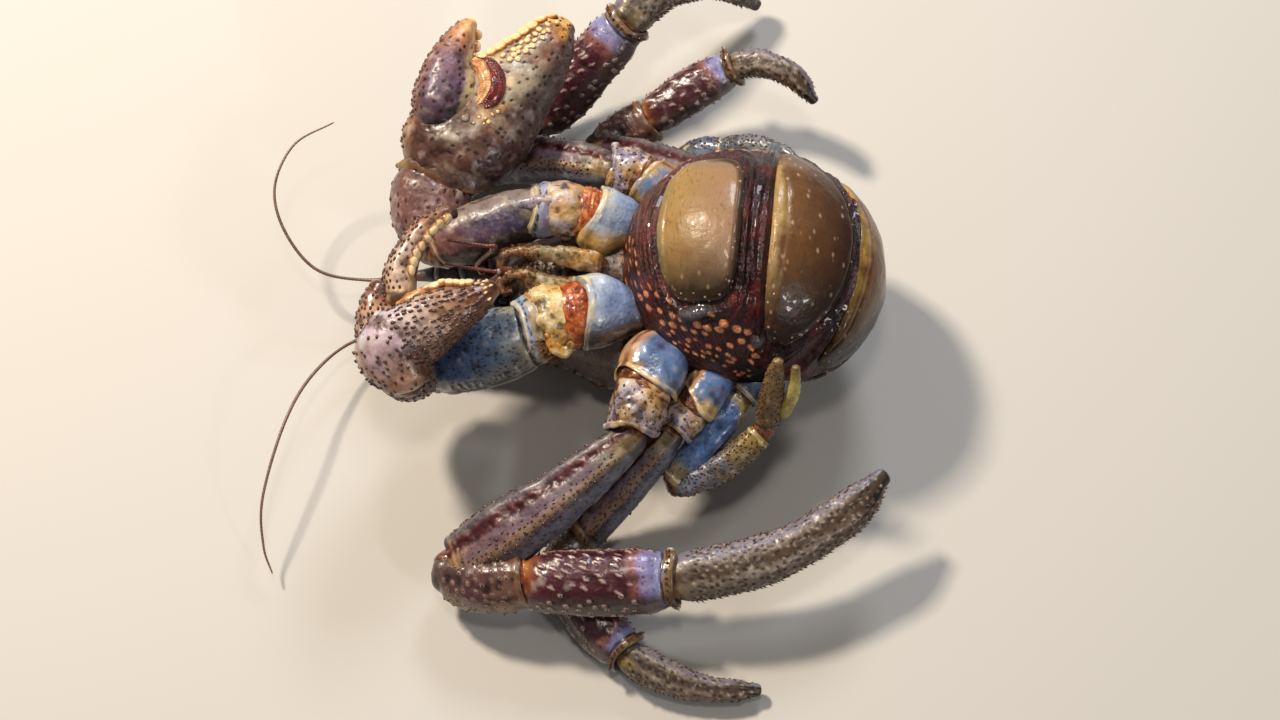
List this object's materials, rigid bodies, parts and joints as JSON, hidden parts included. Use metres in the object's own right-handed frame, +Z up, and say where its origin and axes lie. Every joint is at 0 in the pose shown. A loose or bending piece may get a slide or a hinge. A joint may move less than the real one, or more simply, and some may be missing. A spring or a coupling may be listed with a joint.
{
  "type": "coconut crab",
  "caption": "Life-size still model of a coconut crab resting on its back, claws folded over its head and the plated abdomen curled over its belly.",
  "frame": {"origin": "centre of the bounding box in plan, at floor level", "axes": "+X towards the rear of the body, +Y towards the animal's left, +Z up out of its belly"},
  "size_m": [0.2304, 0.2956, 0.0918],
  "materials": {
    "claw": "satin shell, violet-brown to cream, with dark scale dots",
    "leg": "satin shell, maroon and grey-violet with pale dashes",
    "base": "glossy shell, pale blue and ochre, with orange joint skin",
    "carapace": "satin shell, dark violet-blue, finely pitted",
    "mouthpart": "ochre shell with short bristles",
    "feeler": "brown ringed feeler",
    "eye": "black glossy cornea on a dark red stalk",
    "abdomen": "wet-looking dark maroon skin with orange dots",
    "plate": "glossy tan-brown shell plate"
  },
  "bodies": {
    "root": {"abdomen": "abdomen", "antenna_left": "feeler", "antenna_right": "feeler", "antennule_left": "feeler", "antennule_right": "feeler", "branchial_left": "carapace", "branchial_right": "carapace", "cardiac": "carapace", "claw_left_base": "base", "claw_left_carpus": "claw", "claw_left_dactyl": "claw", "claw_left_merus": "claw", "claw_left_palm": "claw", "claw_right_base": "base", "claw_right_carpus": "claw", "claw_right_dactyl": "claw", "claw_right_merus": "claw", "claw_right_palm": "claw", "eye_left": "eye", "eye_right": "eye", "leg_2_left_base": "base", "leg_2_left_carpus": "leg", "leg_2_left_dactyl": "leg", "leg_2_left_merus": "leg", "leg_2_left_propodus": "leg", "leg_2_right_base": "base", "leg_2_right_carpus": "leg", "leg_2_right_dactyl": "leg", "leg_2_right_merus": "leg", "leg_2_right_propodus": "leg", "leg_3_left_base": "base", "leg_3_left_carpus": "leg", "leg_3_left_dactyl": "leg", "leg_3_left_merus": "leg", "leg_3_left_propodus": "leg", "leg_3_right_base": "base", "leg_3_right_carpus": "leg", "leg_3_right_dactyl": "leg", "leg_3_right_merus": "leg", "leg_3_right_propodus": "leg", "leg_4_left_base": "base", "leg_4_left_carpus": "leg", "leg_4_left_dactyl": "leg", "leg_4_left_merus": "leg", "leg_4_left_palm": "leg", "leg_4_right_base": "base", "leg_4_right_carpus": "leg", "leg_4_right_dactyl": "leg", "leg_4_right_merus": "leg", "leg_4_right_palm": "leg", "maxilliped_left": "mouthpart", "maxilliped_right": "mouthpart", "mouth": "mouthpart", "shield": "carapace", "sternum": "base", "tail_fan": "plate", "tergite_2": "plate", "tergite_3": "plate", "tergite_4": "plate", "tergite_5": "plate"}
  },
  "joints": []
}
